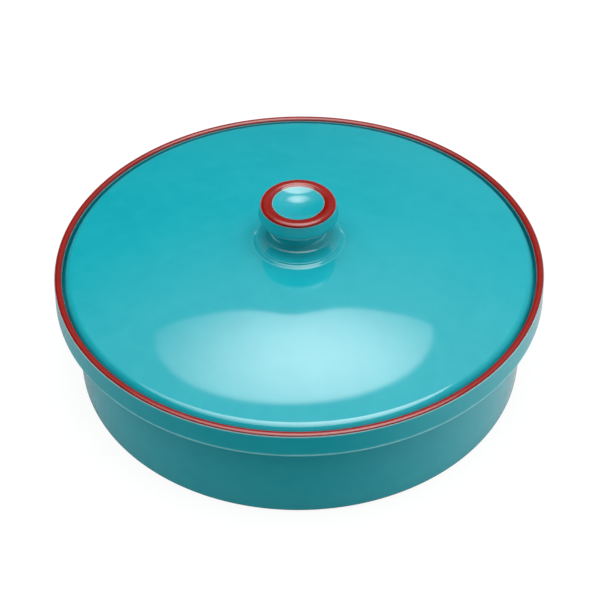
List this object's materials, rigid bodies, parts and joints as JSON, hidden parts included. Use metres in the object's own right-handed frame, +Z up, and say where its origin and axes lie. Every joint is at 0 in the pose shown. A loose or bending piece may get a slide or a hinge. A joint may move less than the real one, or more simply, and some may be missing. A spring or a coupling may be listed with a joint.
{
  "type": "tortilla warmer",
  "caption": "Round glazed stoneware warmer: a flat-floored bowl with a galleried collar, and a domed lid that drops inside the rim and lifts off by a spool-shaped knob.",
  "frame": {"origin": "centre of the foot, on the surface that the bowl stands on", "axes": "+Z up along the axis that every piece is turned about; X and Y are level and alike"},
  "size_m": [0.25, 0.25, 0.1003],
  "materials": {
    "turquoise_glaze": "gloss glaze, thinner and paler on edges, bare clay on the foot ring",
    "red_glaze": "gloss glaze, thin and greyish along both edges of the band"
  },
  "bodies": {
    "bowl": {"bowl": "turquoise_glaze", "rim_band": "red_glaze"},
    "lid": {"lid": "turquoise_glaze", "knob": "turquoise_glaze", "knob_band": "red_glaze"}
  },
  "joints": [
    {"name": "lid_lift", "type": "slide", "parent": "bowl", "child": "lid", "axis": [0, 0, 1], "range_m": [0, 0.15]}
  ]
}
